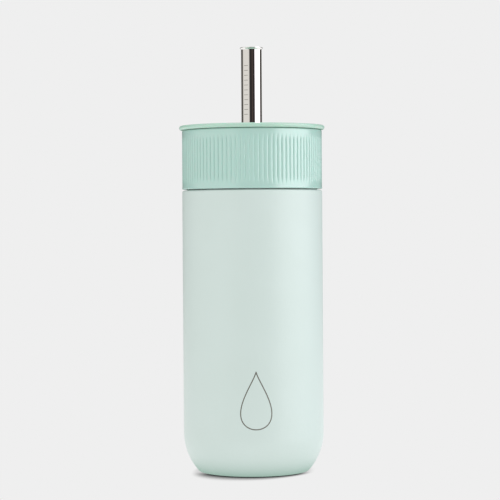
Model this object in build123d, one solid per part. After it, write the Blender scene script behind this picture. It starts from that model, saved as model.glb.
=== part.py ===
from build123d import *
import os
from math import sqrt

# Insulated straw tumbler: a double-wall vacuum vessel of steel, a ribbed screw collar,
# a lid that pushes into the collar, and a steel straw through the middle of the lid.
#
# Frame: millimetres, +Z up. The origin is on the table, under the centre of the base.
# The front of the vessel faces -Y. A turned outline is drawn as (radius, height).

# ---------------------------------------------------------------- driving dimensions
# Vessel, outside
body_d = 75.0            # outside diameter of the straight wall
body_h = 150.6           # shoulder above the table
corner_radius = 30.0     # large arc that rounds the wall in to the base
corner_h = 21.0          # height where that arc meets the straight wall
outer_wall = 0.6
shoulder_radius = 1.2
neck_root_radius = 0.8

# Vessel, inside
inner_wall = 0.5
vacuum_gap = 3.4         # between the two straight walls
neck_gap = 0.5           # between the two walls inside the neck
floor_h = 9.0            # underside of the inner vessel's floor above the table
inner_corner_radius = 14.0
neck_h = 19.4            # shoulder to drinking lip
lip_h = 1.0              # folded lip that closes the two walls
lip_edge_radius = 0.45
foil_thickness = 0.15
foil_play = 0.02
foil_bottom_margin = 5.0  # foil starts this far above the inner corner
foil_top_margin = 5.0     # and ends this far under the shoulder

# Base
foot_stand = 0.5         # rubber foot stands this proud of the steel base
base_ring_w = 3.8        # flat steel ring that the outer corner ends in
recess_h = 2.5           # depth of the recess in the base
bend_radius = 1.2        # bend of the pressed base disc
foot_w = 5.3             # width of the rubber foot ring
foot_play = 0.2
foot_edge_radius = 0.3
cover_thickness = 0.5
dimple_d = 9.4
dimple_h = 1.2
seal_hole_d = 2.0
seal_bead_d = 7.2
seal_bead_drop = 0.8
getter_d = 8.4
getter_h = 1.2
getter_wall = 0.3
getter_play = 0.05
getter_offset = 14.0     # getter's distance from the axis

# Thread between neck and collar: two starts, right-handed
thread_lead = 10.0       # rise for one turn
thread_starts = 2
thread_turns = 0.9
thread_h = 0.9           # height of a ridge
thread_foot_w = 2.2
thread_crest_w = 1.2
thread_play = 0.3        # radial, crest to wall
thread_drop = 2.0        # collar's ridges lie this far under the neck's
thread_margin = 5.1      # shoulder to the start of the neck's ridges
ridge_root = 0.2         # depth that a ridge is rooted in its wall
thread_start_angle = 30.0  # direction, from +X, where the first ridge starts

# Collar
seam_gap = 0.6           # shadow gap between shoulder and collar
collar_h = 31.4
collar_bottom_radius = 0.5
collar_top_radius = 0.8
ledge_t = 1.6            # inside flange that seats the lid and presses the seal
ledge_reach = 1.2        # how far the ledge reaches inside the inner wall
lid_bore_wall = 2.3      # wall round the lid's seat
lead_in = 0.4
rib_count = 96
rib_groove_w = 0.6
rib_groove_depth = 0.4
rib_bottom_margin = 2.6  # smooth band under the ribs
rib_top_margin = 3.2     # and over them
rib_run_out = 4.0        # length over which a groove fades out at each end

# Collar seal
collar_seal_t = 1.5
collar_seal_overhang = 0.4
seal_air = 0.1           # each side of a soft ring that lies between two bodies
seal_edge_radius = 0.3

# Lid
rim_overhang = 1.45      # rim reaches this far outside the collar
rim_t = 2.3
rim_gap = 0.2            # shadow gap between collar and rim
rim_bead_h = 1.3         # rim stands this far above the lid's face
rim_bead_w = 3.1
rim_bead_slope = 0.7     # bead's inner side leans out by this much
rim_bead_foot_radius = 0.6
rim_bead_top_radius = 0.9
rim_edge_flat = 0.04     # what the full-round edge leaves flat
rim_root_radius = 0.3
plate_t = 2.0
plug_air = 0.6           # lid skirt to collar bore
skirt_t = 1.8
lid_inside_radius = 0.6  # corners of the hollow inside the lid
lid_edge_radius = 0.6    # lower edge of the plug
lid_floor_t = 1.5
lid_seat_air = 0.1
locating_ring_h = 2.5
locating_ring_w = 1.6
fit_play = 0.2           # between pieces that are glued or welded together
lid_seal_groove_h = 2.4
lid_seal_groove_depth = 1.2
lid_seal_above_floor = 2.1
vent_d = 2.0
vent_boss_d = 5.2
vent_offset = 20.0
foam_air = 0.1

# Straw and its grommet
straw_d = 11.0
straw_wall = 0.4
straw_above_rim = 41.9
straw_floor_gap = 2.0
straw_lip_proud = 0.6   # flared mouth's lip beyond the tube
straw_flare_h = 1.5      # height over which the mouth flares out to its lip
straw_lip_h = 0.6
straw_flare_radius = 1.0
straw_grip_play = 0.1    # grommet's lips to the straw
straw_hole_play = 0.8    # lid's bore to the straw
grommet_wall = 2.5
grommet_h = 3.6
grommet_flange_w = 1.4
grommet_flange_t = 0.9
grommet_relief = 0.4
grommet_mouth_radius = 0.3
boss_wall = 1.6

# ---------------------------------------------------------------- derived places
body_r = body_d / 2
inner_outside_r = body_r - outer_wall - vacuum_gap
inner_r = inner_outside_r - inner_wall
neck_inside_r = inner_outside_r + neck_gap
neck_r = neck_inside_r + outer_wall
lip_top = body_h + neck_h
shell_top = lip_top - lip_h
floor_top = floor_h + inner_wall

shell_bottom = foot_stand
corner_center_r = body_r - corner_radius
base_disc_z = shell_bottom + recess_h
base_disc_top = base_disc_z + outer_wall

collar_bottom = body_h + seam_gap
collar_top = collar_bottom + collar_h
collar_inside_r = neck_r + thread_h + thread_play
ledge_bottom = lip_top + collar_seal_t + 2 * seal_air
ledge_top = ledge_bottom + ledge_t
ledge_r = inner_r - ledge_reach
lid_bore_r = body_r - lid_bore_wall

rim_r = body_r + rim_overhang
rim_bottom = collar_top + rim_gap
rim_top = rim_bottom + rim_t
lid_face = rim_top - rim_bead_h
plate_bottom = lid_face - plate_t
plug_r = lid_bore_r - plug_air
skirt_inside_r = plug_r - skirt_t
lid_bottom = ledge_top + lid_seat_air
lid_floor_top = lid_bottom + lid_floor_t
lid_seal_bottom = lid_floor_top + lid_seal_above_floor
lid_seal_top = lid_seal_bottom + lid_seal_groove_h

straw_r = straw_d / 2
straw_bottom = floor_top + straw_floor_gap
straw_top = rim_top + straw_above_rim
grommet_inside_r = straw_r + straw_grip_play
grommet_r = grommet_inside_r + grommet_wall
grommet_bottom = lid_face - grommet_h
straw_hole_r = straw_r + straw_hole_play
boss_r = grommet_r + boss_wall


def corner_point(radius, height):
    """Point at a height on an arc about the corner's centre."""
    return (corner_center_r + sqrt(radius**2 - (corner_h - height)**2), height)


def turned(*outline):
    """Solid turned about Z from a closed outline."""
    edges = [edge for line in outline for edge in line.edges()]
    return revolve(Plane.XZ * make_face(edges), Axis.Z)


def turned_ring(corners):
    """Solid turned about Z from corners given as (radius, height, corner radius)."""
    points = [(r, z) for r, z, _ in corners]
    return turned(FilletPolyline(*points, radius=[c for _, _, c in corners], close=True))


def thread_ridges(wall_r, first_z, inwards):
    """Helical ridges standing on a round wall, rooted in it, one for each start."""
    side = -1 if inwards else 1
    path = Helix(thread_lead, thread_lead * thread_turns, wall_r, center=(0, 0, first_z))
    plane = Plane(path @ 0, x_dir=(side, 0, 0), z_dir=path % 0)
    foot, crest = thread_foot_w / 2, thread_crest_w / 2
    outline = Polyline((-ridge_root, -foot), (0, -foot), (thread_h, -crest),
                       (thread_h, crest), (0, foot), (-ridge_root, foot), close=True)
    ridge = sweep(plane * make_face(outline.edges()), path=path, is_frenet=True)
    step = 360 / thread_starts
    return [Rot(0, 0, thread_start_angle + step * start) * ridge for start in range(thread_starts)]


# ---------------------------------------------------------------- vessel
def make_outer_shell():
    """Outer wall: flat base ring, large corner arc, straight wall, shoulder, threaded neck."""
    inside_r = body_r - outer_wall
    arc_inside = corner_radius - outer_wall
    base_top = shell_bottom + outer_wall
    outer_start = corner_point(corner_radius, shell_bottom)
    inner_end = corner_point(arc_inside, base_top)
    ring_r = outer_start[0] - base_ring_w
    mid_h = corner_h / 3
    outer_arc = ThreePointArc(outer_start, corner_point(corner_radius, mid_h), (body_r, corner_h))
    wall = FilletPolyline(
        (body_r, corner_h), (body_r, body_h), (neck_r, body_h), (neck_r, shell_top),
        (neck_inside_r, shell_top), (neck_inside_r, body_h - outer_wall),
        (inside_r, body_h - outer_wall), (inside_r, corner_h),
        radius=[shoulder_radius, neck_root_radius, 0, 0,
                neck_root_radius + outer_wall, shoulder_radius - outer_wall])
    inner_arc = ThreePointArc((inside_r, corner_h), corner_point(arc_inside, mid_h), inner_end)
    base = Polyline(inner_end, (ring_r, base_top), (ring_r, shell_bottom), outer_start)
    shell = turned(outer_arc, wall, inner_arc, base)
    return shell + thread_ridges(neck_r, body_h + thread_margin, inwards=False)


def make_inner_vessel():
    """Inner wall: rounded floor and a folded lip that covers the outer wall's edge."""
    return turned_ring([
        (0, floor_h, 0),
        (inner_outside_r, floor_h, inner_corner_radius),
        (inner_outside_r, shell_top, 0),
        (neck_r, shell_top, 0),
        (neck_r, lip_top, lip_edge_radius),
        (inner_r, lip_top, lip_edge_radius),
        (inner_r, floor_top, inner_corner_radius - inner_wall),
        (0, floor_top, 0)])


def make_foil_wrap():
    """Thin reflective sleeve round the inner vessel, in the vacuum space."""
    r = inner_outside_r + foil_play
    bottom = floor_h + inner_corner_radius + foil_bottom_margin
    top = body_h - foil_top_margin
    return turned_ring([(r, bottom, 0), (r + foil_thickness, bottom, 0),
                        (r + foil_thickness, top, 0), (r, top, 0)])


base_recess_r = corner_point(corner_radius, shell_bottom)[0] - base_ring_w


def make_outer_bottom():
    """Pressed disc welded into the base ring, with the dimple and hole for the vacuum seal."""
    dimple_r = dimple_d / 2
    slope = outer_wall / 2
    inside_r = base_recess_r - outer_wall
    return turned_ring([
        (base_recess_r, shell_bottom, 0),
        (base_recess_r, base_disc_top, bend_radius),
        (dimple_r + slope, base_disc_top, 0),
        (dimple_r - slope, base_disc_top + dimple_h, 0),
        (seal_hole_d / 2, base_disc_top + dimple_h, 0),
        (seal_hole_d / 2, base_disc_z + dimple_h, 0),
        (dimple_r - 2 * slope, base_disc_z + dimple_h, 0),
        (dimple_r, base_disc_z, 0),
        (inside_r, base_disc_z, bend_radius - outer_wall),
        (inside_r, shell_bottom, 0)])


def make_vacuum_seal():
    """Glass bead melted into the dimple, which plugs the evacuation hole."""
    hole_bottom = base_disc_z + dimple_h
    bead_bottom = hole_bottom - seal_bead_drop
    return turned_ring([
        (0, hole_bottom + outer_wall, 0),
        (seal_hole_d / 2, hole_bottom + outer_wall, 0),
        (seal_hole_d / 2, hole_bottom, 0),
        (seal_bead_d / 2, hole_bottom, 0),
        (seal_bead_d / 2 - seal_bead_drop / 2, bead_bottom, seal_bead_drop / 2),
        (0, bead_bottom, 0)])


def make_getter_cup():
    """Small cup welded to the base disc, on the vacuum side."""
    outside = getter_d / 2 + getter_play + getter_wall
    inside = outside - getter_wall
    top = base_disc_top + getter_wall + getter_h + getter_wall
    cup = turned_ring([
        (0, base_disc_top, 0), (outside, base_disc_top, 0), (outside, top, 0), (inside, top, 0),
        (inside, base_disc_top + getter_wall, 0), (0, base_disc_top + getter_wall, 0)])
    return Pos(getter_offset, 0, 0) * cup


def make_getter_pellet():
    """Pressed pellet that soaks up stray gas in the vacuum space."""
    bottom = base_disc_top + getter_wall
    pellet = Cylinder(getter_d / 2, getter_h, align=(Align.CENTER, Align.CENTER, Align.MIN))
    return Pos(getter_offset, 0, bottom) * pellet


foot_r = base_recess_r - outer_wall - foot_play


def make_foot_ring():
    """Rubber ring that the vessel stands on, glued in the recess of the base."""
    inside = foot_r - foot_w
    return turned_ring([
        (inside, 0, foot_edge_radius), (foot_r, 0, foot_edge_radius),
        (foot_r, base_disc_z, bend_radius - outer_wall), (inside, base_disc_z, 0)])


def make_base_cover():
    """Steel disc inside the foot ring, which hides the vacuum seal."""
    radius = foot_r - foot_w - foot_play
    disc = Cylinder(radius, cover_thickness, align=(Align.CENTER, Align.CENTER, Align.MAX))
    return Pos(0, 0, base_disc_z) * disc


# ---------------------------------------------------------------- collar
def make_rib_groove():
    """Cutter for one groove between two ribs, sloped out at both ends."""
    bottom = collar_bottom + rib_bottom_margin
    top = collar_top - rib_top_margin
    proud_r = body_r + rib_groove_depth
    floor_r = body_r - rib_groove_depth
    side = Polyline((proud_r, bottom - rib_run_out), (floor_r, bottom + rib_run_out),
                    (floor_r, top - rib_run_out), (proud_r, top + rib_run_out), close=True)
    return extrude(Plane.XZ * make_face(side.edges()), rib_groove_w / 2, both=True)


def make_collar():
    """Ribbed screw collar: threaded below, with a ledge and a smooth seat for the lid."""
    collar = turned_ring([
        (collar_inside_r, collar_bottom, 0),
        (body_r, collar_bottom, collar_bottom_radius),
        (body_r, collar_top, collar_top_radius),
        (lid_bore_r + lead_in, collar_top, 0),
        (lid_bore_r, collar_top - lead_in, 0),
        (lid_bore_r, ledge_top, 0),
        (ledge_r, ledge_top, 0),
        (ledge_r, ledge_bottom, 0),
        (collar_inside_r, ledge_bottom, 0)])
    first_z = body_h + thread_margin - thread_drop
    collar = collar + thread_ridges(collar_inside_r, first_z, inwards=True)
    groove = make_rib_groove()
    pitch = 360 / rib_count
    return collar - [Rot(0, 0, pitch * (index + 0.5) - 90) * groove for index in range(rib_count)]


def make_collar_seal():
    """Flat silicone ring between the collar's ledge and the drinking lip."""
    bottom = lip_top + seal_air
    top = bottom + collar_seal_t
    outside = collar_inside_r - collar_seal_overhang
    inside = inner_r - collar_seal_overhang
    return turned_ring([
        (inside, bottom, seal_edge_radius), (outside, bottom, seal_edge_radius),
        (outside, top, seal_edge_radius), (inside, top, seal_edge_radius)])


# ---------------------------------------------------------------- lid
def make_lid_cap():
    """Top of the lid: round-edged rim, recessed face, skirt with seal groove, straw boss."""
    bead_inside_r = rim_r - rim_bead_w
    edge = (rim_t - rim_edge_flat) / 2
    groove_r = plug_r - lid_seal_groove_depth
    cap = turned_ring([
        (grommet_r, lid_face, 0),
        (bead_inside_r, lid_face, rim_bead_foot_radius),
        (bead_inside_r + rim_bead_slope, rim_top, rim_bead_top_radius),
        (rim_r, rim_top, edge),
        (rim_r, rim_bottom, edge),
        (plug_r, rim_bottom, rim_root_radius),
        (plug_r, lid_seal_top, 0),
        (groove_r, lid_seal_top, 0),
        (groove_r, lid_seal_bottom, 0),
        (plug_r, lid_seal_bottom, 0),
        (plug_r, lid_floor_top, 0),
        (skirt_inside_r, lid_floor_top, 0),
        (skirt_inside_r, plate_bottom, lid_inside_radius),
        (boss_r, plate_bottom, lid_inside_radius),
        (boss_r, lid_floor_top, 0),
        (straw_hole_r, lid_floor_top, 0),
        (straw_hole_r, grommet_bottom, 0),
        (grommet_r, grommet_bottom, 0)])
    boss_h = plate_bottom - lid_floor_top
    boss = Cylinder(vent_boss_d / 2, boss_h, align=(Align.CENTER, Align.CENTER, Align.MIN))
    cap = cap + Pos(0, vent_offset, lid_floor_top) * boss
    return cap - Pos(0, vent_offset, lid_floor_top) * Cylinder(vent_d / 2, 4 * boss_h)


def make_lid_floor():
    """Underside of the lid, welded to the skirt and to the straw boss."""
    ring_r = skirt_inside_r - fit_play
    floor = turned_ring([
        (straw_hole_r, lid_bottom, 0),
        (plug_r, lid_bottom, lid_edge_radius),
        (plug_r, lid_floor_top, 0),
        (ring_r, lid_floor_top, 0),
        (ring_r, lid_floor_top + locating_ring_h, 0),
        (ring_r - locating_ring_w, lid_floor_top + locating_ring_h, 0),
        (ring_r - locating_ring_w, lid_floor_top, 0),
        (straw_hole_r, lid_floor_top, 0)])
    return floor - Pos(0, vent_offset, lid_floor_top) * Cylinder(vent_d / 2, 4 * lid_floor_t)


def make_lid_foam():
    """Disc of insulating foam that fills the hollow lid."""
    inside = boss_r + fit_play
    outside = skirt_inside_r - fit_play - locating_ring_w - fit_play
    bottom, top = lid_floor_top + foam_air, plate_bottom - foam_air
    foam = turned_ring([(inside, bottom, 0), (outside, bottom, 0),
                        (outside, top, lid_inside_radius), (inside, top, lid_inside_radius)])
    vent_hole = Cylinder(vent_boss_d / 2 + fit_play, 4 * (top - bottom))
    return foam - Pos(0, vent_offset, bottom) * vent_hole


def make_lid_seal():
    """Silicone ring in the skirt's groove, with two lips that wipe the collar's bore."""
    back_r = plug_r - lid_seal_groove_depth
    body = plug_r - fit_play
    lip_r = lid_bore_r - seal_air
    step = lid_seal_groove_h / 8
    z = lid_seal_bottom
    return turned_ring([
        (back_r, z, 0), (body, z, 0), (body, z + step, 0),
        (lip_r, z + 1.5 * step, 0), (lip_r, z + 2.5 * step, 0), (body, z + 3 * step, 0),
        (body, z + 5 * step, 0), (lip_r, z + 5.5 * step, 0), (lip_r, z + 6.5 * step, 0),
        (body, z + 7 * step, 0), (body, z + 8 * step, 0), (back_r, z + 8 * step, 0)])


def make_straw_grommet():
    """Silicone grommet pressed into the lid, with two lips that hold the straw."""
    relief_r = grommet_inside_r + grommet_relief
    flange_r = grommet_r + grommet_flange_w
    top = lid_face + grommet_flange_t
    lip = grommet_h / 4
    return turned_ring([
        (grommet_inside_r, grommet_bottom, 0),
        (grommet_r, grommet_bottom, 0),
        (grommet_r, lid_face, 0),
        (flange_r, lid_face, 0),
        (flange_r, top, grommet_flange_t / 2),
        (grommet_inside_r, top, grommet_mouth_radius),
        (grommet_inside_r, lid_face - lip / 2, 0),
        (relief_r, lid_face - lip, 0),
        (relief_r, grommet_bottom + lip + grommet_relief, 0),
        (grommet_inside_r, grommet_bottom + lip, 0)])


# ---------------------------------------------------------------- straw
def make_straw():
    """Straight steel tube with a flared, round-edged mouth."""
    flare_bottom = straw_top - straw_flare_h
    lip_r = straw_r + straw_lip_proud
    inside_r = straw_r - straw_wall
    edge = straw_lip_h / 3
    return turned_ring([
        (inside_r, straw_bottom, 0),
        (straw_r, straw_bottom, 0),
        (straw_r, flare_bottom, straw_flare_radius),
        (lip_r, straw_top - straw_lip_h, edge),
        (lip_r, straw_top, edge),
        (lip_r - straw_wall - edge, straw_top, edge),
        (inside_r, flare_bottom, straw_flare_radius)])


pieces = {
    "outer_shell": make_outer_shell,
    "inner_vessel": make_inner_vessel,
    "foil_wrap": make_foil_wrap,
    "outer_bottom": make_outer_bottom,
    "vacuum_seal": make_vacuum_seal,
    "getter_cup": make_getter_cup,
    "getter_pellet": make_getter_pellet,
    "foot_ring": make_foot_ring,
    "base_cover": make_base_cover,
    "collar": make_collar,
    "collar_seal": make_collar_seal,
    "lid_cap": make_lid_cap,
    "lid_floor": make_lid_floor,
    "lid_foam": make_lid_foam,
    "lid_seal": make_lid_seal,
    "straw_grommet": make_straw_grommet,
    "straw": make_straw,
}

os.makedirs("parts", exist_ok=True)
for node, make in pieces.items():
    export_step(make(), f"parts/{node}.step")
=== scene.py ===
import math

import bmesh
import bpy
from mathutils import Matrix, Vector


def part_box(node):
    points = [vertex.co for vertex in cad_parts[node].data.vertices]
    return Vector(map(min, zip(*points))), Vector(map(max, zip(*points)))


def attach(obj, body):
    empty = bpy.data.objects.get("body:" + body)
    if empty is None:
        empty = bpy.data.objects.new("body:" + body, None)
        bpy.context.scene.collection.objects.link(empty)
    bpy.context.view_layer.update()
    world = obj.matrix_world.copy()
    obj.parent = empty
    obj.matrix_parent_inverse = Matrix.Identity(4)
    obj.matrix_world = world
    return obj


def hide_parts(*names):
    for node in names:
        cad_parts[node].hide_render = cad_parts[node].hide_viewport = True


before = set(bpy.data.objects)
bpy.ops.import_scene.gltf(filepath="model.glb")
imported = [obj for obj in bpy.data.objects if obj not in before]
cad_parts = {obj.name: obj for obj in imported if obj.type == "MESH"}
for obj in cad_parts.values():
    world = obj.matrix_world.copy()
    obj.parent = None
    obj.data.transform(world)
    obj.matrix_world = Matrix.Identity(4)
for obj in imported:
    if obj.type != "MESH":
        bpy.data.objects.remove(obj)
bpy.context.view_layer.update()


# ==================================================================== outer wall
# The outer wall is drawn and spun from thin stainless sheet: a flat ring to stand in, one
# large arc up to the straight barrel, a small shoulder, and a bare neck for the collar. It is
# powder-coated a pale mint up to just over the shoulder, where the masking tape ended.
MM = 0.001
wall_low, wall_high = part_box("outer_shell")
liner_low, liner_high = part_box("inner_vessel")
collar_low, collar_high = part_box("collar")
barrel_r = wall_high.x / MM
base_z = wall_low.z / MM
neck_top = wall_high.z / MM
neck_r = liner_high.x / MM
sheet = 0.6  # thickness of the steel
seam = 0.6  # dark gap between the shoulder and the collar
shoulder_z = collar_low.z / MM - seam
shoulder_round = 1.2
neck_root = 0.8
corner_radius = 30.0
corner_z = 21.0
corner_steps = 24
base_ring = 3.8
base_round = 0.7
barrel_segments = 256
crease = math.radians(32)  # a sharper turn between two faces is shaded as an edge


def rounded(corners, step=10.0):
    """Points of an outline whose corners are (radius, height, rounding), all in millimetres.

    A rounding gets a point at least every step, in degrees.
    """
    points = []
    for index, (r, z, rounding) in enumerate(corners):
        here = Vector((r, z))
        if rounding <= 0:
            points.append(here)
            continue
        before = (Vector(corners[index - 1][:2]) - here).normalized()
        after = (Vector(corners[(index + 1) % len(corners)][:2]) - here).normalized()
        half = before.angle(after) / 2
        centre = here + (before + after).normalized() * rounding / math.sin(half)
        start = here + before * rounding / math.tan(half) - centre
        turn = start.angle_signed(here + after * rounding / math.tan(half) - centre)
        count = max(3, math.ceil(abs(math.degrees(turn)) / step))
        for part in range(count + 1):
            points.append(centre + Matrix.Rotation(-turn * part / count, 2) @ start)
    return points


def with_loops(points, margin=0.2):
    """Adds a point close to each end of every long run, so that shading stays flat along it."""
    dense = []
    for index, here in enumerate(points):
        after = points[(index + 1) % len(points)]
        dense.append(here)
        run = after - here
        if run.length > 5 * margin:
            dense.append(here + run.normalized() * margin)
            dense.append(after - run.normalized() * margin)
    return dense


def turned(name, points, segments):
    """Closed mesh spun about Z from (radius, height) points in millimetres.

    A point on the axis makes one vertex, so the faces that meet there are triangles.
    """
    mesh = bpy.data.meshes.new(name)
    work = bmesh.new()
    rings = []
    for r, z in points:
        if r < 1e-6:
            rings.append([work.verts.new((0, 0, z * MM))] * segments)
            continue
        ring = []
        for part in range(segments):
            angle = 2 * math.pi * part / segments
            ring.append(work.verts.new((r * MM * math.cos(angle), r * MM * math.sin(angle), z * MM)))
        rings.append(ring)
    for index, ring in enumerate(rings):
        above = rings[(index + 1) % len(rings)]
        for part in range(segments):
            after = (part + 1) % segments
            corners = list(dict.fromkeys((ring[part], ring[after], above[after], above[part])))
            if len(corners) > 2:
                work.faces.new(corners)
    bmesh.ops.recalc_face_normals(work, faces=work.faces)
    work.to_mesh(mesh)
    work.free()
    mesh.shade_smooth()
    mesh.set_sharp_from_angle(angle=crease)
    piece = bpy.data.objects.new(name, mesh)
    bpy.context.scene.collection.objects.link(piece)
    return piece


def spun(name, corners, segments=192):
    """A turned piece straight from its rounded corners."""
    return turned(name, with_loops(rounded(corners)), segments)


def corner_arc(radius, lowest):
    """Corners up the large arc, from a height to where it meets the straight barrel."""
    centre_r = barrel_r - corner_radius
    start = math.asin((corner_z - lowest) / radius)
    points = []
    for part in range(corner_steps + 1):
        angle = start * (1 - part / corner_steps)
        points.append((centre_r + radius * math.cos(angle), corner_z - radius * math.sin(angle), 0))
    return points


outside = corner_arc(corner_radius, base_z)
inside = corner_arc(corner_radius - sheet, base_z + sheet)
outside[0] = (*outside[0][:2], base_round)
ring_r = outside[0][0] - base_ring
outer_wall = spun("outer_wall", [
    (ring_r, base_z, 0), *outside,
    (barrel_r, shoulder_z, shoulder_round), (neck_r, shoulder_z, neck_root), (neck_r, neck_top, 0),
    (neck_r - sheet, neck_top, 0), (neck_r - sheet, shoulder_z - sheet, neck_root + sheet),
    (barrel_r - sheet, shoulder_z - sheet, shoulder_round - sheet), *reversed(inside),
    (ring_r, base_z + sheet, 0)], segments=barrel_segments)


class Wiring:
    """Adds nodes to a node tree and links them."""

    def __init__(self, tree):
        self.nodes = tree.nodes
        self.links = tree.links

    def node(self, kind, settings=None, **inputs):
        """A node with its settings; an input is given a value or linked from a socket."""
        node = self.nodes.new(kind)
        for key, value in (settings or {}).items():
            setattr(node, key, value)
        for key, value in inputs.items():
            self.feed(node.inputs[key.replace("_", " ")], value)
        return node

    def feed(self, socket, value):
        """Links a socket to another one, or gives it a value."""
        if isinstance(value, bpy.types.NodeSocket):
            self.links.new(value, socket)
        else:
            socket.default_value = value

    def maths(self, operation, first, second=0.0, third=0.0):
        """What one Math node works out."""
        node = self.node("ShaderNodeMath", {"operation": operation})
        for socket, value in zip(node.inputs, (first, second, third)):
            self.feed(socket, value)
        return node.outputs[0]

    def vector_maths(self, operation, first, second=(0.0, 0.0, 0.0)):
        """What one Vector Math node works out."""
        node = self.node("ShaderNodeVectorMath", {"operation": operation})
        self.feed(node.inputs[0], first)
        self.feed(node.inputs[1], second)
        return node.outputs["Value" if operation in ("LENGTH", "DOT_PRODUCT") else "Vector"]

    def split(self, vector):
        """The X, Y and Z of a vector."""
        return self.node("ShaderNodeSeparateXYZ", Vector=vector).outputs


class Finish(Wiring):
    """A node material under construction: a Principled shader and the nodes that feed it."""

    def __init__(self, name, colour, roughness, metallic=0.0, **sockets):
        self.material = bpy.data.materials.new(name)
        self.material.use_nodes = True
        super().__init__(self.material.node_tree)
        self.shader = self.nodes["Principled BSDF"]
        self.shader.inputs["Base Color"].default_value = (*colour, 1)
        self.shader.inputs["Roughness"].default_value = roughness
        self.shader.inputs["Metallic"].default_value = metallic
        for socket, value in sockets.items():
            self.shader.inputs[socket.replace("_", " ")].default_value = value
        self.place = self.nodes.new("ShaderNodeTexCoord").outputs["Object"]

    def stretched(self, scale):
        """Object coordinates scaled by (x, y, z)."""
        return self.node("ShaderNodeMapping", Vector=self.place, Scale=scale).outputs[0]

    def noise(self, scale, detail=2.0, vector=None, roughness=0.5):
        """Smooth noise from 0 to 1, with about as many grains to a metre as its scale."""
        return self.node("ShaderNodeTexNoise", Vector=vector or self.place, Scale=scale,
                         Detail=detail, Roughness=roughness).outputs["Fac"]

    def ramp(self, value, low, high, out_low=0.0, out_high=1.0):
        """A value moved from one span to another, smoothly and clamped."""
        node = self.node("ShaderNodeMapRange", {"interpolation_type": "SMOOTHSTEP"}, Value=value)
        for socket, number in zip(("From Min", "From Max", "To Min", "To Max"),
                                  (low, high, out_low, out_high)):
            node.inputs[socket].default_value = number
        return node.outputs[0]

    def blend(self, share, first, second):
        """Two colours mixed by a share; a Mix node's colours are its inputs 6 and 7 and output 2."""
        node = self.node("ShaderNodeMix", {"data_type": "RGBA"})
        self.feed(node.inputs[0], share)
        for socket, colour in zip(node.inputs[6:8], (first, second)):
            self.feed(socket, colour if isinstance(colour, bpy.types.NodeSocket) else (*colour, 1))
        return node.outputs[2]

    def bump(self, height, depth):
        """Relief from a 0 to 1 height, with its depth in metres."""
        node = self.node("ShaderNodeBump", Height=height, Distance=depth, Strength=1.0)
        self.feed(self.shader.inputs["Normal"], node.outputs[0])

    def set(self, socket, value):
        """Gives the shader itself a value or a link."""
        self.feed(self.shader.inputs[socket], value)


mint = (0.615, 0.715, 0.68)
mint_shade = (0.607, 0.707, 0.67)
bare_steel = (0.62, 0.61, 0.59)
coat_edge = (shoulder_z + 1.6) * MM  # height where the masking tape began
edge_wander = 0.3 * MM  # how far the coat's edge strays with its pebbles
edge_fade = 0.1 * MM
peel_share = 1.5
coat_relief = 0.012 * MM

coat = Finish("powder_coat", mint, 0.4)
pebble = coat.noise(2600.0, 2.0)
orange_peel = coat.noise(420.0, 1.0)
cloud = coat.noise(38.0, 2.0)
wandering_z = coat.maths("ADD", coat.split(coat.place)["Z"], coat.maths("MULTIPLY", pebble, edge_wander))
bare = coat.ramp(wandering_z, coat_edge, coat_edge + edge_fade)
painted = coat.blend(coat.ramp(cloud, 0.35, 0.65), mint, mint_shade)
coat.set("Base Color", coat.blend(bare, painted, bare_steel))
coat.set("Metallic", bare)
coat.set("Roughness", coat.ramp(pebble, 0.3, 0.7, 0.36, 0.44))
coat.bump(coat.maths("ADD", pebble, coat.maths("MULTIPLY", orange_peel, peel_share)), coat_relief)
outer_wall.data.materials.append(coat.material)

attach(outer_wall, "vessel")
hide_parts("outer_shell")


# ==================================================================== neck thread
# The collar screws on two thread ridges rolled into the bare neck, right-handed, each nearly
# one turn long and tapered away at its ends. The collar's own ridges lie just under them.
thread_lead = 10.0
thread_turns = 0.9
thread_starts = 2
thread_direction = 30.0
thread_rise = 5.1  # shoulder to where the ridges start
thread_height = 0.9
thread_foot = 2.2
thread_crest = 1.2
thread_steps = 72
taper_share = 0.06  # share of a ridge's length that tapers, at each end
taper_end = 0.15  # size that is left at the very end, as a share


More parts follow.
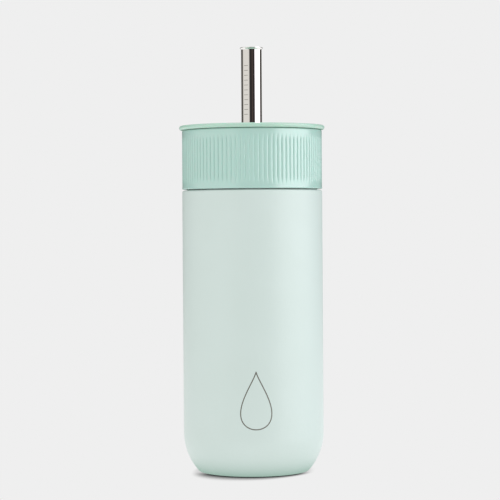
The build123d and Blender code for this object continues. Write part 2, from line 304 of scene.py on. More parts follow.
class Tree(Wiring):
    """A geometry node tree with named inputs, ended by Realize Instances and Set Material."""

    def __init__(self, name, **inputs):
        self.group = bpy.data.node_groups.new(name, "GeometryNodeTree")
        face = self.group.interface
        face.new_socket("Geometry", in_out="INPUT", socket_type="NodeSocketGeometry")
        face.new_socket("Geometry", in_out="OUTPUT", socket_type="NodeSocketGeometry")
        self.values = {}
        for key, value in inputs.items():
            label = key.replace("_", " ")
            kind = {int: "NodeSocketInt", float: "NodeSocketFloat"}.get(type(value), "NodeSocketMaterial")
            socket = face.new_socket(label, in_out="INPUT", socket_type=kind)
            self.values[socket.identifier] = value
        super().__init__(self.group)
        self.given = self.nodes.new("NodeGroupInput")

    def read(self, label):
        """One of the tree's own inputs."""
        return self.given.outputs[label]

    def ease(self, value, low, high):
        """0 below low, 1 above high, smooth between."""
        node = self.node("ShaderNodeMapRange", {"interpolation_type": "SMOOTHSTEP"}, Value=value)
        self.feed(node.inputs["From Min"], low)
        self.feed(node.inputs["From Max"], high)
        return node.outputs[0]

    def vector(self, x=0.0, y=0.0, z=0.0):
        """A vector from three values or sockets."""
        return self.node("ShaderNodeCombineXYZ", X=x, Y=y, Z=z).outputs[0]

    def end(self, geometry):
        """Closes the tree."""
        real = self.node("GeometryNodeRealizeInstances", Geometry=geometry)
        painted = self.node("GeometryNodeSetMaterial", Geometry=real.outputs[0],
                            Material=self.read("Material"))
        out = self.nodes.new("NodeGroupOutput")
        self.feed(out.inputs[0], painted.outputs[0])

    def grow(self, piece, **changed):
        """Runs the tree on a piece, with some inputs changed, and leaves a plain mesh."""
        modifier = piece.modifiers.new("shape", "NODES")
        modifier.node_group = self.group
        labels = {item.identifier: item.name for item in self.group.interface.items_tree}
        for identifier, value in self.values.items():
            modifier[identifier] = changed.get(labels[identifier].replace(" ", "_"), value)
        view = bpy.context.evaluated_depsgraph_get()
        mesh = bpy.data.meshes.new_from_object(piece.evaluated_get(view))
        piece.modifiers.remove(modifier)
        piece.data = mesh
        mesh.name = piece.name
        mesh.shade_smooth()
        mesh.set_sharp_from_angle(angle=crease)
        return piece


def empty_piece(name):
    """A piece with nothing in it yet, for a tree that makes everything itself."""
    piece = bpy.data.objects.new(name, bpy.data.meshes.new(name))
    bpy.context.scene.collection.objects.link(piece)
    return piece


def thread_tree(material):
    """Helical ridges: a spiral swept with a trapezoid, then turned round once for each start."""
    tree = Tree("helical_ridges", Wall_Radius=0.0, Lead=thread_lead * MM, Turns=thread_turns,
                Starts=thread_starts, Foot_Width=thread_foot * MM, Crest_Width=thread_crest * MM,
                Ridge_Height=thread_height * MM, First_Height=0.0, Direction=thread_direction,
                Inwards=0, Material=material)
    rise = tree.maths("MULTIPLY", tree.read("Lead"), tree.read("Turns"))
    spiral = tree.node("GeometryNodeCurveSpiral", Resolution=thread_steps,
                       Rotations=tree.read("Turns"), Start_Radius=tree.read("Wall Radius"),
                       End_Radius=tree.read("Wall Radius"), Height=rise, Reverse=False)
    upright = tree.node("GeometryNodeSetCurveNormal", {"mode": "Z_UP"}, Curve=spiral.outputs[0])
    along = tree.node("GeometryNodeSplineParameter").outputs["Factor"]
    from_end = tree.maths("MINIMUM", along, tree.maths("SUBTRACT", 1.0, along))
    share = tree.maths("MAXIMUM", tree.ease(from_end, 0.0, taper_share), taper_end)
    tapered = tree.node("GeometryNodeSetCurveRadius", Curve=upright.outputs[0], Radius=share)
    section = tree.node("GeometryNodeCurvePrimitiveQuadrilateral", {"mode": "TRAPEZOID"},
                        Bottom_Width=tree.read("Foot Width"), Top_Width=tree.read("Crest Width"),
                        Height=tree.maths("MULTIPLY", tree.read("Ridge Height"), 2.0), Offset=0.0)
    lean = tree.maths("MULTIPLY", tree.maths("SUBTRACT", tree.read("Inwards"), 0.5), math.pi)
    aimed = tree.node("GeometryNodeTransform", Geometry=section.outputs[0],
                      Rotation=tree.vector(z=lean))
    ridge = tree.node("GeometryNodeCurveToMesh", Curve=tapered.outputs[0],
                      Profile_Curve=aimed.outputs[0], Fill_Caps=True)
    starts = tree.node("GeometryNodePoints", Count=tree.read("Starts"))
    index = tree.node("GeometryNodeInputIndex").outputs[0]
    step = tree.maths("DIVIDE", 2 * math.pi, tree.read("Starts"))
    first = tree.maths("RADIANS", tree.read("Direction"))
    angle = tree.maths("ADD", first, tree.maths("MULTIPLY", index, step))
    copies = tree.node("GeometryNodeInstanceOnPoints", Points=starts.outputs[0],
                       Instance=ridge.outputs[0], Rotation=tree.vector(z=angle))
    lifted = tree.node("GeometryNodeTransform", Geometry=copies.outputs[0],
                       Translation=tree.vector(z=tree.read("First Height")))
    tree.end(lifted.outputs[0])
    return tree


level_grain = (60, 60, 5000)  # grains to a metre along x, y and z, so the lines run round
steel = Finish("spun_steel", bare_steel, 0.3, 1.0)
brush_lines = steel.noise(1.0, 3.0, steel.stretched(level_grain), 0.7)
steel.set("Roughness", steel.ramp(brush_lines, 0.3, 0.7, 0.225, 0.39))
steel.bump(brush_lines, 0.004 * MM)

ridges = thread_tree(steel.material)
neck_thread = ridges.grow(empty_piece("neck_thread"), Wall_Radius=neck_r * MM,
                          First_Height=(shoulder_z + thread_rise) * MM)
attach(neck_thread, "vessel")
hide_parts("outer_shell")


# ==================================================================== inner vessel
# The liner is one deep-drawn steel cup, fine-brushed inside. Its lip is folded over the
# neck's edge and welded there, which closes the vacuum space between the two walls.
neck_gap = 0.5
liner_sheet = 0.5
liner_r = neck_r - sheet - neck_gap
drink_r = liner_r - liner_sheet
floor_z = liner_low.z / MM
floor_round = 14.0
lip_top = liner_high.z / MM
lip_round = 0.45

liner = spun("liner", [
    (0, floor_z, 0), (liner_r, floor_z, floor_round), (liner_r, neck_top, 0), (neck_r, neck_top, 0),
    (neck_r, lip_top, lip_round), (drink_r, lip_top, lip_round),
    (drink_r, floor_z + liner_sheet, floor_round - liner_sheet), (0, floor_z + liner_sheet, 0)])
liner.data.materials.append(steel.material)
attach(liner, "vessel")
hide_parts("inner_vessel")


# ==================================================================== base
# A pressed steel disc closes the base, with a small dish for the glass bead that seals the
# vacuum. A brushed cover hides the bead, and a rubber ring glued round it touches the table.
foot_low, foot_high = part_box("foot_ring")
cover_low, cover_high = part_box("base_cover")
foot_r = foot_high.x / MM
cover_r = cover_high.x / MM
disc_z = foot_high.z / MM
foot_z = foot_low.z / MM
foot_inside = cover_r + 0.2
foot_round = 0.3
groove_outside = foot_r - 2.0
groove_inside = foot_r - 3.4
groove_lean = 0.4
groove_z = foot_z + 0.35
groove_round = 0.15
cover_round = 0.15

foot = spun("foot", [
    (foot_inside, foot_z, foot_round), (groove_inside, foot_z, groove_round),
    (groove_inside + groove_lean, groove_z, groove_round),
    (groove_outside - groove_lean, groove_z, groove_round), (groove_outside, foot_z, groove_round),
    (foot_r, foot_z, foot_round), (foot_r, disc_z, 2 * foot_round), (foot_inside, disc_z, 0)])
rubber = Finish("foot_rubber", (0.050, 0.062, 0.058), 0.75)
rubber.bump(rubber.noise(1500.0, 3.0), 0.02 * MM)
foot.data.materials.append(rubber.material)
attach(foot, "vessel")
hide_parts("foot_ring")

cover_z = cover_low.z / MM
cover = spun("cover", [
    (0, cover_z, 0), (cover_r, cover_z, cover_round), (cover_r, disc_z, 0), (0, disc_z, 0)])
disc_steel = Finish("turned_steel", bare_steel, 0.28, 1.0)
from_middle = disc_steel.vector_maths("LENGTH", disc_steel.place)
turned_rings = disc_steel.node("ShaderNodeTexNoise", {"noise_dimensions": "1D"}, W=from_middle,
                               Scale=6000.0, Detail=2.0).outputs["Fac"]
disc_steel.set("Roughness", disc_steel.ramp(turned_rings, 0.3, 0.7, 0.2, 0.4))
disc_steel.bump(turned_rings, 0.004 * MM)
cover.data.materials.append(disc_steel.material)
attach(cover, "vessel")
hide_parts("base_cover")


def paint_node(node, material):
    """Gives a node of the frame a finish in place of its packed one."""
    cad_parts[node].data.materials.clear()
    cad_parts[node].data.materials.append(material)


paint_node("outer_bottom", disc_steel.material)
paint_node("getter_cup", steel.material)

bead = Finish("seal_glass", (0.16, 0.18, 0.19), 0.12, Transmission_Weight=0.4)
bead.bump(bead.noise(900.0), 0.03 * MM)
paint_node("vacuum_seal", bead.material)

pellet = Finish("getter_powder", (0.10, 0.10, 0.105), 0.9)
pellet.bump(pellet.noise(5000.0, 4.0), 0.04 * MM)
paint_node("getter_pellet", pellet.material)

foil = Finish("crinkled_foil", (0.80, 0.81, 0.82), 0.18, 1.0)
foil.bump(foil.noise(260.0, 4.0, roughness=0.7), 0.2 * MM)
paint_node("foil_wrap", foil.material)


# ==================================================================== collar
# The collar is one moulding in satin mint plastic. Fine upright ribs run all round it, each
# softly crowned with a narrow groove between, and every groove fades out before the smooth
# bands above and below. A fine lip runs round the foot, and a thread and the lid's seat inside.
collar_r = collar_high.x / MM
collar_bottom = collar_low.z / MM
collar_top = collar_high.z / MM
collar_round = 0.8
rib_count = 96
segments_per_rib = 12
groove_depth = 0.45
crown_share = 0.42  # share of the groove's depth that the rib's crown takes
crown_power = 2.0
groove_power = 7.0
ribs_bottom = collar_bottom + 1.6
ribs_top = collar_top - 2.2
run_out = 5.0  # length over which a groove fades out, at each end
run_out_levels = 8
rib_cut_margin = 0.01  # points further inside the wall's face than this stay where they are
lip_h = 0.55
lip_fade = 0.385
lip_proud = 0.08
lip_foot_edge = 0.35
lip_edge = 0.12
rib_r = collar_r - lip_proud
thread_play = 0.3
collar_bore = neck_r + thread_height + thread_play
collar_thread_drop = 2.0
seal_air = 0.1
ledge_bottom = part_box("collar_seal")[1].z / MM + seal_air
ledge_top = ledge_bottom + 1.6
ledge_r = drink_r - 1.2
ledge_round = 0.3
seat_r = collar_r - 2.3
lead_in = 0.4
bore_round = 0.2
coarse_step = 24.0  # degrees between points on a rounding, because the ribs have many faces

rib_levels = [ribs_bottom + run_out * part / run_out_levels for part in range(run_out_levels + 1)]
rib_levels += [ribs_bottom + ribs_top - level for level in reversed(rib_levels)]
collar_outline = [
    (collar_bore, collar_bottom, bore_round), (collar_r, collar_bottom, lip_foot_edge),
    (collar_r, collar_bottom + lip_h, lip_edge), (rib_r, collar_bottom + lip_h + lip_fade, lip_edge),
    *[(rib_r, level, 0) for level in rib_levels],
    (rib_r, collar_top, collar_round), (seat_r + lead_in, collar_top, 0),
    (seat_r, collar_top - lead_in, bore_round), (seat_r, ledge_top, bore_round),
    (ledge_r, ledge_top, ledge_round), (ledge_r, ledge_bottom, ledge_round),
    (collar_bore, ledge_bottom, bore_round)]
collar = turned("ribbed_collar", with_loops(rounded(collar_outline, coarse_step)),
                rib_count * segments_per_rib)


def moulded_plastic(name, colour, shade, smoothest, roughest, **sockets):
    """Slightly cloudy plastic with the fine grain of its mould."""
    plastic = Finish(name, colour, smoothest, Subsurface_Radius=(0.5, 1.0, 0.85), **sockets)
    grain = plastic.noise(1800.0, 2.0)
    cloud = plastic.noise(45.0)
    plastic.set("Roughness", plastic.ramp(grain, 0.3, 0.7, smoothest, roughest))
    plastic.set("Base Color", plastic.blend(plastic.ramp(cloud, 0.35, 0.65), colour, shade))
    plastic.bump(grain, 0.001 * MM)
    return plastic


plastic = moulded_plastic("collar_plastic", (0.45, 0.665, 0.6), (0.445, 0.66, 0.595), 0.18, 0.23,
                          IOR=1.75, Subsurface_Weight=0.2, Subsurface_Scale=0.8 * MM)


def rib_tree(material):
    """Cuts an outer wall into crowned ribs; every groove between fades out at both ends."""
    tree = Tree("upright_ribs", Rib_Count=rib_count, Wall_Radius=rib_r * MM,
                Groove_Depth=groove_depth * MM, Crown_Share=crown_share, Ribs_Bottom=ribs_bottom * MM,
                Ribs_Top=ribs_top * MM, Run_Out=run_out * MM, Material=material)
    place = tree.split(tree.node("GeometryNodeInputPosition").outputs[0])
    flat = tree.vector(place["X"], place["Y"])
    turns = tree.maths("DIVIDE", tree.maths("ARCTAN2", place["Y"], place["X"]), 2 * math.pi)
    pitch = tree.maths("MULTIPLY", turns, tree.read("Rib Count"))
    from_crest = tree.maths("MULTIPLY", tree.maths("PINGPONG", pitch, 0.5), 2.0)
    crown = tree.maths("MULTIPLY", tree.maths("POWER", from_crest, crown_power), tree.read("Crown Share"))
    groove = tree.maths("MULTIPLY", tree.maths("POWER", from_crest, groove_power),
                        tree.maths("SUBTRACT", 1.0, tree.read("Crown Share")))
    depth = tree.maths("MULTIPLY", tree.maths("ADD", crown, groove), tree.read("Groove Depth"))
    from_bottom = tree.ease(place["Z"], tree.read("Ribs Bottom"),
                            tree.maths("ADD", tree.read("Ribs Bottom"), tree.read("Run Out")))
    from_top = tree.ease(place["Z"], tree.read("Ribs Top"),
                         tree.maths("SUBTRACT", tree.read("Ribs Top"), tree.read("Run Out")))
    outer = tree.maths("GREATER_THAN", tree.vector_maths("LENGTH", flat),
                       tree.maths("SUBTRACT", tree.read("Wall Radius"), rib_cut_margin * MM))
    shown = tree.maths("MULTIPLY", tree.maths("MULTIPLY", from_bottom, from_top), outer)
    inwards = tree.maths("MULTIPLY", tree.maths("MULTIPLY", depth, shown), -1.0)
    shift = tree.node("ShaderNodeVectorMath", {"operation": "SCALE"}, Scale=inwards)
    tree.feed(shift.inputs[0], tree.vector_maths("NORMALIZE", flat))
    cut = tree.node("GeometryNodeSetPosition", Geometry=tree.read("Geometry"),
                    Offset=shift.outputs[0])
    tree.end(cut.outputs[0])
    return tree


rib_tree(plastic.material).grow(collar)
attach(collar, "collar")
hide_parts("collar")

collar_thread = ridges.grow(empty_piece("collar_thread"), Wall_Radius=collar_bore * MM, Inwards=1,
                            First_Height=(shoulder_z + thread_rise - collar_thread_drop) * MM,
                            Material=plastic.material)
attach(collar_thread, "collar")
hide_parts("collar")


# ==================================================================== silicone rings
# Two soft rings in pale silicone: a flat one that the collar presses on the drinking lip, and
# one in the lid's skirt with two lips that wipe the collar's bore.
silicone = Finish("silicone", (0.70, 0.76, 0.73), 0.5, Subsurface_Weight=0.25,
                  Subsurface_Scale=2 * MM)
silicone.bump(silicone.noise(1200.0), 0.015 * MM)

lip_seal_low, lip_seal_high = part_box("collar_seal")
lip_seal_r = lip_seal_high.x / MM
lip_seal_inside = drink_r - 0.4
lip_seal_bottom = lip_seal_low.z / MM
lip_seal_top = lip_seal_high.z / MM
soft_edge = 0.3
lip_seal = spun("lip_seal", [
    (lip_seal_inside, lip_seal_bottom, soft_edge), (lip_seal_r, lip_seal_bottom, soft_edge),
    (lip_seal_r, lip_seal_top, soft_edge), (lip_seal_inside, lip_seal_top, soft_edge)])
lip_seal.data.materials.append(silicone.material)
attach(lip_seal, "seal")
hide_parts("collar_seal")

lid_seal_low, lid_seal_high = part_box("lid_seal")
skirt_r = seat_r - 0.6
wiper_r = lid_seal_high.x / MM
wiper_back = skirt_r - 1.2
wiper_body = skirt_r - 0.2
wiper_z = lid_seal_low.z / MM
wiper_top = lid_seal_high.z / MM
wiper_step = (wiper_top - wiper_z) / 8
wiper_edge = 0.1
wiper_outline = [(wiper_body, 0), (wiper_body, 1), (wiper_r, 1.5), (wiper_r, 2.5), (wiper_body, 3),
                 (wiper_body, 5), (wiper_r, 5.5), (wiper_r, 6.5), (wiper_body, 7), (wiper_body, 8)]
wiper = spun("wiper_seal", [
    (wiper_back, wiper_z, 0),
    *[(r, wiper_z + steps * wiper_step, wiper_edge) for r, steps in wiper_outline],
    (wiper_back, wiper_top, 0)])
wiper.data.materials.append(silicone.material)
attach(wiper, "lid")
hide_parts("lid_seal")


# ==================================================================== lid
# The lid is a hollow plug in sage plastic: a cap whose full-round rim overhangs the collar so
# that fingers can lift it, a floor welded on under it, and foam between. A boss in the middle
# holds the straw's grommet, and a small vent behind the straw lets air in.
cap_low, cap_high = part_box("lid_cap")
lid_floor_low, lid_floor_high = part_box("lid_floor")
rim_r = cap_high.x / MM
rim_top = cap_high.z / MM
rim_bottom = rim_top - 2.3
rim_round = 1.13
rim_root = 0.3
bead_w = 2.4
bead_lean = 0.7
bead_foot_round = 0.6
bead_top_round = 0.9
seat_edge = 0.2
lid_face = rim_top - 1.3
plate_under = lid_face - 2.0
cap_bottom = cap_low.z / MM
skirt_wall = 1.8
inside_round = 0.6
grommet_r = 8.1
boss_r = grommet_r + 1.6
straw_hole = 6.3
grommet_seat = lid_face - 3.6
vent_r = 1.0
vent_at = 20.0  # behind the middle
drill_over = 1.0

cap = spun("lid_cap_moulding", [
    (grommet_r, lid_face, seat_edge), (rim_r - bead_w - bead_lean, lid_face, bead_foot_round),
    (rim_r - bead_w, rim_top, bead_top_round), (rim_r, rim_top, rim_round),
    (rim_r, rim_bottom, rim_round), (skirt_r, rim_bottom, rim_root), (skirt_r, wiper_top, 0),
    (wiper_back, wiper_top, 0), (wiper_back, wiper_z, 0), (skirt_r, wiper_z, 0),
    (skirt_r, cap_bottom, 0), (skirt_r - skirt_wall, cap_bottom, 0),
    (skirt_r - skirt_wall, plate_under, inside_round), (boss_r, plate_under, inside_round),
    (boss_r, cap_bottom, 0), (straw_hole, cap_bottom, 0), (straw_hole, grommet_seat, 0),
    (grommet_r, grommet_seat, 0)])


def drill_vent(piece, low, high):
    """Cuts the vent's upright hole through a piece, behind the straw."""
    low -= drill_over
    high += drill_over
    cutter = spun("vent_cutter", [(0, low, 0), (vent_r, low, 0), (vent_r, high, 0), (0, high, 0)],
                  segments=48)
    cutter.data.transform(Matrix.Translation((0, vent_at * MM, 0)))
    modifier = piece.modifiers.new("vent", "BOOLEAN")
    modifier.operation = "DIFFERENCE"
    modifier.solver = "EXACT"
    modifier.object = cutter
    view = bpy.context.evaluated_depsgraph_get()
    mesh = bpy.data.meshes.new_from_object(piece.evaluated_get(view))
    piece.modifiers.remove(modifier)
    piece.data = mesh
    mesh.set_sharp_from_angle(angle=crease)
    bpy.data.objects.remove(cutter)


drill_vent(cap, plate_under, rim_top)
lid_plastic = moulded_plastic("lid_plastic", (0.458, 0.65, 0.55), (0.452, 0.643, 0.543), 0.27, 0.37,
                              IOR=1.5, Subsurface_Weight=0.5, Subsurface_Scale=2 * MM)
cap.data.materials.append(lid_plastic.material)
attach(cap, "lid")
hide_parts("lid_cap")

floor_bottom = lid_floor_low.z / MM
plug_round = 0.6
weld_r = skirt_r - skirt_wall - 0.2
weld_w = 1.6
weld_top = lid_floor_high.z / MM
drip_ring_inside = boss_r + 1.0
drip_ring_outside = boss_r + 2.4
drip_ring_h = 0.3
drip_ring_round = 0.2
hole_round = 0.3
lid_base = spun("lid_floor_moulding", [
    (straw_hole, floor_bottom, hole_round), (drip_ring_inside, floor_bottom, drip_ring_round),
    (drip_ring_inside + drip_ring_h, floor_bottom + drip_ring_h, drip_ring_round),
    (drip_ring_outside - drip_ring_h, floor_bottom + drip_ring_h, drip_ring_round),
    (drip_ring_outside, floor_bottom, drip_ring_round), (skirt_r, floor_bottom, plug_round),
    (skirt_r, cap_bottom, 0), (weld_r, cap_bottom, 0), (weld_r, weld_top, 0),
    (weld_r - weld_w, weld_top, 0), (weld_r - weld_w, cap_bottom, 0), (straw_hole, cap_bottom, 0)])
drill_vent(lid_base, floor_bottom, cap_bottom)
lid_base.data.materials.append(lid_plastic.material)
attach(lid_base, "lid")
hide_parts("lid_floor")

foam = Finish("closed_cell_foam", (0.80, 0.80, 0.77), 0.95)
cells = foam.node("ShaderNodeTexVoronoi", Vector=foam.place, Scale=1600.0).outputs["Distance"]
foam.bump(cells, 0.1 * MM)
paint_node("lid_foam", foam.material)


# ==================================================================== grommet
# The straw passes through a silicone grommet that is pressed into the lid's boss. Its flange
# lies on the lid's face, and two inner lips hold the straw and keep drink from creeping up.
grommet_low, grommet_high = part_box("straw_grommet")
grip_r = 5.6
relief_r = grip_r + 0.4
flange_r = grommet_high.x / MM
flange_top = grommet_high.z / MM
grommet_bottom = grommet_low.z / MM
upper_lip = lid_face - 0.45
lower_lip = grommet_bottom + 0.9
relief_top = upper_lip - 0.45
relief_bottom = lower_lip + 0.4
grommet_edge = 0.1
flange_round = 0.44
grip_round = 0.3
grommet = spun("grommet", [
    (grip_r, grommet_bottom, grommet_edge), (grommet_r, grommet_bottom, grommet_edge),
    (grommet_r, lid_face, 0), (flange_r, lid_face, grommet_edge), (flange_r, flange_top, flange_round),
    (grip_r, flange_top, grip_round), (grip_r, upper_lip, grommet_edge),
    (relief_r, relief_top, grommet_edge), (relief_r, relief_bottom, grommet_edge),
    (grip_r, lower_lip, grommet_edge)], segments=96)
grommet.data.materials.append(silicone.material)
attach(grommet, "lid")
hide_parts("straw_grommet")


# ==================================================================== straw
# The straw is seamless stainless tube, mirror-polished outside, cut square at the foot and
# flared at the mouth with a rounded edge.
straw_low, straw_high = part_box("straw")
straw_r = 5.5
straw_wall = 0.4
straw_bore = straw_r - straw_wall
straw_foot = straw_low.z / MM
foot_edge = 0.12
mouth_r = straw_high.x / MM
mouth_z = straw_high.z / MM
mouth_edge = 0.2
flare_z = mouth_z - 1.1
flare_round = 0.6
flare_round_inside = 1.0
lip_foot = mouth_z - 0.35
straw = spun("drinking_straw", [
    (straw_bore, straw_foot, foot_edge), (straw_r, straw_foot, foot_edge),
    (straw_r, flare_z, flare_round), (mouth_r, lip_foot, mouth_edge), (mouth_r, mouth_z, mouth_edge),
    (mouth_r - straw_wall - mouth_edge, mouth_z, mouth_edge),
    (straw_bore, flare_z, flare_round_inside)], segments=128)
upright_grain = (900, 900, 12)  # grains to a metre, so the haze runs up the tube
polish = Finish("polished_steel", (0.84, 0.83, 0.81), 0.05, 1.0)
haze = polish.noise(1.0, 2.0, polish.stretched(upright_grain), 0.6)
polish.set("Roughness", polish.ramp(haze, 0.35, 0.75, 0.03, 0.05))
straw.data.materials.append(polish.material)
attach(straw, "straw")
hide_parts("straw")


# ==================================================================== etched marks
# Two generic marks are burnt in by laser, which leaves the steel dark: a plain drop outline
# through the coat on the front, and a ladder of short level lines on the left of the straw.
etch_proud = 0.012  # how far a mark stands out of the wall, so that it shows
line_w = 0.56
mark_centre = (1.3, 41.0)  # to the right of the front, and up
mark_w = 17.0
mark_h = 30.0
tick_line_w = 0.22
tick_w = 2.4
tick_step = 2.6
tick_count = 11
tick_angle = 33.0  # to the left of the front
tick_first = 6.0  # above the lid's rim
tick_parts = 8
drop_parts = 160
drop_taper = 1.6
widest_belly = 0.72  # largest half width that the drop's formula gives


def etched_tree(material):
    """Wraps flat lines, drawn as (round the wall, up), round a wall from its front.

    A line is first copied upwards, then given a thin section that lies half sunk in the wall.
    """
    tree = Tree("etched_line", Wall_Radius=0.0, Line_Width=line_w * MM, Copies=1, Step=0.0,
                Material=material)
    stack = tree.node("GeometryNodeMeshLine", Count=tree.read("Copies"),
                      Offset=tree.vector(y=tree.read("Step")))
    copies = tree.node("GeometryNodeInstanceOnPoints", Points=stack.outputs[0],
                       Instance=tree.read("Geometry"))
    drawn = tree.node("GeometryNodeRealizeInstances", Geometry=copies.outputs[0])
    line = tree.node("GeometryNodeMeshToCurve", Mesh=drawn.outputs[0])
    flat = tree.node("GeometryNodeSetCurveNormal", {"mode": "Z_UP"}, Curve=line.outputs[0])
    across = tree.node("GeometryNodeCurvePrimitiveQuadrilateral", {"mode": "RECTANGLE"},
                       Width=tree.read("Line Width"), Height=2 * etch_proud * MM)
    ribbon = tree.node("GeometryNodeCurveToMesh", Curve=flat.outputs[0],
                       Profile_Curve=across.outputs[0], Fill_Caps=True)
    place = tree.split(tree.node("GeometryNodeInputPosition").outputs[0])
    angle = tree.maths("DIVIDE", place["X"], tree.read("Wall Radius"))
    radius = tree.maths("ADD", tree.read("Wall Radius"), place["Z"])
    x = tree.maths("MULTIPLY", tree.maths("SINE", angle), radius)
    y = tree.maths("MULTIPLY", tree.maths("MULTIPLY", tree.maths("COSINE", angle), radius), -1.0)
    wrapped = tree.node("GeometryNodeSetPosition", Geometry=ribbon.outputs[0],
                        Position=tree.vector(x, y, place["Y"]))
    tree.end(wrapped.outputs[0])
    return tree


def drawn_line(name, points, closed):
    """A piece that holds only a line of (round the wall, up) points in millimetres."""
    piece = empty_piece(name)
    last = len(points) if closed else len(points) - 1
    piece.data.from_pydata([(x * MM, z * MM, 0) for x, z in points],
                           [(i, (i + 1) % len(points)) for i in range(last)], [])
    return piece


etch = Finish("etched_steel", (0.16, 0.155, 0.13), 0.55, 0.3)
etch.bump(etch.noise(4000.0, 2.0), 0.006 * MM)
lines = etched_tree(etch.material)

drop_points = []
for part in range(drop_parts):
    angle = 2 * math.pi * part / drop_parts
    belly = math.sin(angle) * math.sin(angle / 2) ** drop_taper / widest_belly
    drop_points.append((mark_centre[0] + mark_w / 2 * belly,
                        mark_centre[1] + mark_h / 2 * math.cos(angle)))
drop = lines.grow(drawn_line("etched_drop", drop_points, True), Wall_Radius=barrel_r * MM)
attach(drop, "vessel")

tick_at = -straw_r * math.radians(tick_angle)
tick_z = rim_top + tick_first
tick_points = [(tick_at + tick_w * (part / tick_parts - 0.5), tick_z) for part in range(tick_parts + 1)]
ticks = lines.grow(drawn_line("etched_ladder", tick_points, False), Line_Width=tick_line_w * MM,
                   Wall_Radius=straw_r * MM, Copies=tick_count, Step=tick_step * MM)
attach(ticks, "straw")


# ==================================================================== studio
# A plain pale floor that glows evenly, dark only where the base nearly touches it, with soft
# light thrown up from under it. A round screen that only reflections see gives polished steel
# its bright cards and the dark between, and three very soft suns give the barrel its shape.
scene = bpy.context.scene
scene.view_settings.view_transform = "Standard"
paper = 0.863
floor_size = 40.0

world = bpy.data.worlds.new("studio")
scene.world = world
world.use_nodes = True
world.node_tree.nodes["Background"].inputs["Color"].default_value = (paper, paper, paper, 1)


class Glow(Finish):
    """A surface that only shines, for the stage."""

    def __init__(self, name):
        super().__init__(name, (0, 0, 0), 1.0)
        self.nodes.remove(self.shader)
        self.shader = self.node("ShaderNodeEmission")
        self.links.new(self.shader.outputs[0], self.nodes["Material Output"].inputs["Surface"])


def board(name, height):
    """A large level sheet of the stage."""
    mesh = bpy.data.meshes.new(name)
    corners = [(-1, -1), (1, -1), (1, 1), (-1, 1)]
    mesh.from_pydata([(x * floor_size, y * floor_size, height) for x, y in corners], [], [(0, 1, 2, 3)])
    panel = bpy.data.objects.new(name, mesh)
    scene.collection.objects.link(panel)
    return panel


# The shadow under the base spreads further in front and behind than at the sides, where it is
# also weaker, and the floor is shaded as if it were tilted a little towards the light.
shadow_colour = (0.03, 0.035, 0.033)
least_reach = 4 * MM
more_reach = 13 * MM
side_strength = 0.3
floor = board("floor", 0.0)
floor_glow = Glow("floor_paper")
from_axis = floor_glow.vector_maths("NORMALIZE", floor_glow.place)
along_light = floor_glow.vector_maths("DOT_PRODUCT", from_axis, (-0.35, -0.94, 0.0))
facing = floor_glow.maths("POWER", floor_glow.maths("ABSOLUTE", along_light), 4.0)
tilted = floor_glow.node("ShaderNodeCombineXYZ", X=0.2, Y=0.15, Z=0.97).outputs[0]
contact = floor_glow.node("ShaderNodeAmbientOcclusion", {"samples": 24}, Normal=tilted,
                          Distance=floor_glow.maths("MULTIPLY_ADD", facing, more_reach, least_reach))
fore_and_aft = floor_glow.maths("ABSOLUTE", floor_glow.split(from_axis)["Y"])
strength = floor_glow.ramp(fore_and_aft, 0.1, 0.6, side_strength, 1.0)
hidden = floor_glow.ramp(contact.outputs["AO"], 0.0, 0.8, 1.0, 0.0)
shadow = floor_glow.maths("MULTIPLY", hidden, strength)
floor_glow.set("Color", floor_glow.blend(shadow, (paper, paper, paper), shadow_colour))
floor.data.materials.append(floor_glow.material)
floor.visible_diffuse = False
floor.visible_glossy = False
floor.visible_transmission = False
floor.visible_shadow = False

by_the_base = (0.40, 0.56, 0.48)
thrown_up = (1.08, 1.08, 1.08)


def bounce_board(name, height, flagged):
    """Unseen light from the floor, weak by the base.

    Two flags darken it by the share flagged: a wide one in front and a narrow one behind. The
    way ahead is -1 straight in front of the object and 1 straight behind it.
    """
    panel = board(name, height)
    glow = Glow(name + "_light")
    away = glow.vector_maths("LENGTH", glow.place)
    ahead = glow.split(glow.vector_maths("NORMALIZE", glow.place))["Y"]
    flags = glow.maths("ADD", glow.ramp(ahead, -0.85, -0.65, 1.0, 0.0), glow.ramp(ahead, 0.92, 0.97))
    dimmed = glow.maths("MULTIPLY", glow.maths("MULTIPLY", flags, glow.ramp(away, 0.09, 0.16)), flagged)
    glow.set("Color", glow.blend(glow.ramp(away, 0.028, 0.048), by_the_base, thrown_up))
    glow.set("Strength", glow.maths("SUBTRACT", 1.0, dimmed))
    panel.data.materials.append(glow.material)
    panel.visible_camera = False
    return panel


bounce_board("soft_bounce", -0.0001, 0.0).visible_glossy = False
bounce_board("gloss_bounce", -0.0002, 0.92).visible_diffuse = False

# A sun's name, energy, colour, tilt from straight down and direction round, in degrees.
suns = [
    ("key", 0.27, (0.97, 1.0, 1.03), 55, 46),
    ("edge", 0.36, (0.8, 0.98, 1.2), 62, 102),
    ("top", 0.27, (1.0, 0.96, 0.86), 0, 0)]
sun_width = math.radians(50)  # as wide in the sky as a large lamp close by
for name, energy, colour, tilt, around in suns:
    light = bpy.data.lights.new(name, "SUN")
    light.energy = energy
    light.angle = sun_width
    light.color = colour
    lamp = bpy.data.objects.new(name, light)
    lamp.rotation_euler = (math.radians(tilt), 0, math.radians(around))
    scene.collection.objects.link(lamp)

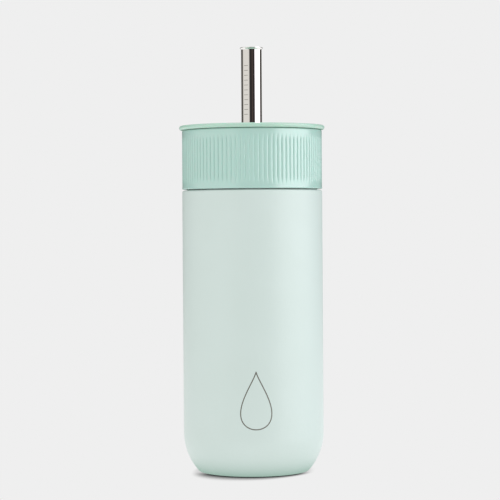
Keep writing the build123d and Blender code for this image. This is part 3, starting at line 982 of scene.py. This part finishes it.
screen_r = 1.6
screen_span = (-0.2, 1.6)
screen_steps = 180
screen_points = []
for level in screen_span:
    for part in range(screen_steps):
        angle = 2 * math.pi * part / screen_steps
        screen_points.append((screen_r * math.sin(angle), -screen_r * math.cos(angle), level))
screen_faces = []
for part in range(screen_steps):
    after = (part + 1) % screen_steps
    screen_faces.append((part, after, after + screen_steps, part + screen_steps))
screen_mesh = bpy.data.meshes.new("round_screen")
screen_mesh.from_pydata(screen_points, [], screen_faces)
screen = bpy.data.objects.new("round_screen", screen_mesh)
scene.collection.objects.link(screen)
screen.visible_camera = False
screen.visible_diffuse = False
screen.visible_shadow = False
screen.visible_transmission = False

# The screen's light by direction, in degrees to the right of the object's front.
dark = (0.035, 0.03, 0.03)
warm_dark = (0.085, 0.062, 0.055)
side_dark = (0.10, 0.095, 0.085)
left_card = (0.82, 0.8, 0.76)
right_card = (3.05, 2.85, 3.0)
back_paper = (0.5, 0.5, 0.5)
card_power = 4.0
directions = [
    (-180, back_paper), (-172, side_dark), (-114, side_dark), (-104, left_card), (-29, left_card),
    (-20, dark), (0, dark), (9, warm_dark), (18, dark), (34, dark), (47, right_card),
    (98, right_card), (110, side_dark), (172, side_dark), (180, back_paper)]
screen_glow = Glow("screen_cards")
there = screen_glow.split(screen_glow.place)
turn = screen_glow.maths("ARCTAN2", there["X"], screen_glow.maths("MULTIPLY", there["Y"], -1.0))
share = screen_glow.maths("MULTIPLY_ADD", turn, 0.5 / math.pi, 0.5)
card_ramp = screen_glow.node("ShaderNodeValToRGB", Fac=share)
stops = card_ramp.color_ramp.elements
while len(stops) < len(directions):
    stops.new(0.5)
for stop, (degrees, colour) in zip(stops, directions):
    stop.position = (degrees + 180) / 360
for stop, (degrees, colour) in zip(stops, directions):
    stop.color = (*(value / card_power for value in colour), 1)
screen_glow.set("Color", card_ramp.outputs["Color"])
screen_glow.set("Strength", card_power)
screen_mesh.materials.append(screen_glow.material)

# The camera looks almost level from the front, a little above the middle. Its turns are in
# degrees and its place is in metres.
looking_down = 0.896
rolled = 0.38
camera_data = bpy.data.cameras.new("camera")
camera_data.lens = 138.2
camera_data.sensor_width = 36.0
camera = bpy.data.objects.new("camera", camera_data)
camera.location = (-0.0013, -1.03, 0.1347)
camera.rotation_euler = (math.radians(90 - looking_down), math.radians(rolled), 0)
scene.collection.objects.link(camera)
scene.camera = camera
